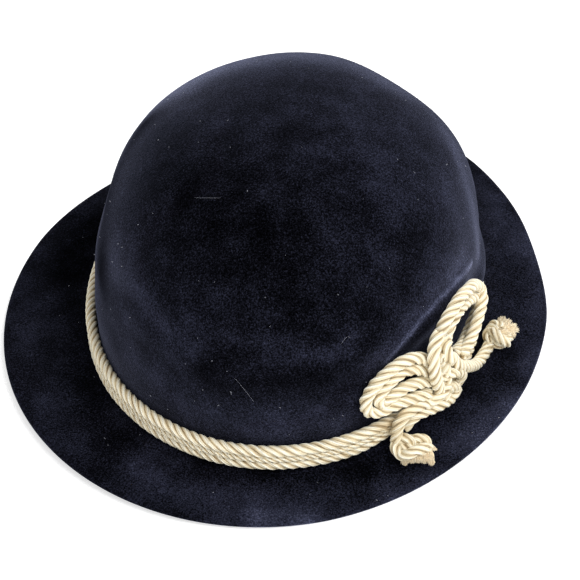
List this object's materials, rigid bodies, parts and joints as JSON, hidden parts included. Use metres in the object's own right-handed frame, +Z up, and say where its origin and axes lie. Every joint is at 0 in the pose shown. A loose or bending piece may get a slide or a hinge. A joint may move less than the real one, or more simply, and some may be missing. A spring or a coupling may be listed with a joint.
{
  "type": "velour felt hat with a tied hat cord",
  "caption": "Soft felt hat with a round crown and a short curved brim, a twisted cord wound round the crown's foot and tied in a bow with knotted, frayed ends.",
  "frame": {"origin": "middle of the brim's outline, on the surface that the brim rests on", "axes": "+Z up through the crown, +X towards the wearer's left and the bow's side, front of the hat towards -Y"},
  "size_m": [0.2414, 0.2686, 0.1095],
  "materials": {
    "velour": "deep navy velour felt with a soft raised nap",
    "cord_yarn": "ivory twisted cord with a slight sheen",
    "cut_yarn": "frayed ends of the same cord, duller and a little darker"
  },
  "bodies": {
    "root": {"felt_body": "velour", "band_cord_lower": "cord_yarn", "band_cord_middle": "cord_yarn", "band_cord_upper": "cord_yarn", "bow_loop_front": "cord_yarn", "bow_loop_rear": "cord_yarn", "bow_knot": "cord_yarn", "tail_cord_rear": "cord_yarn", "tail_cord_front": "cord_yarn", "end_knot_rear": "cut_yarn", "end_knot_front": "cut_yarn"}
  },
  "joints": []
}
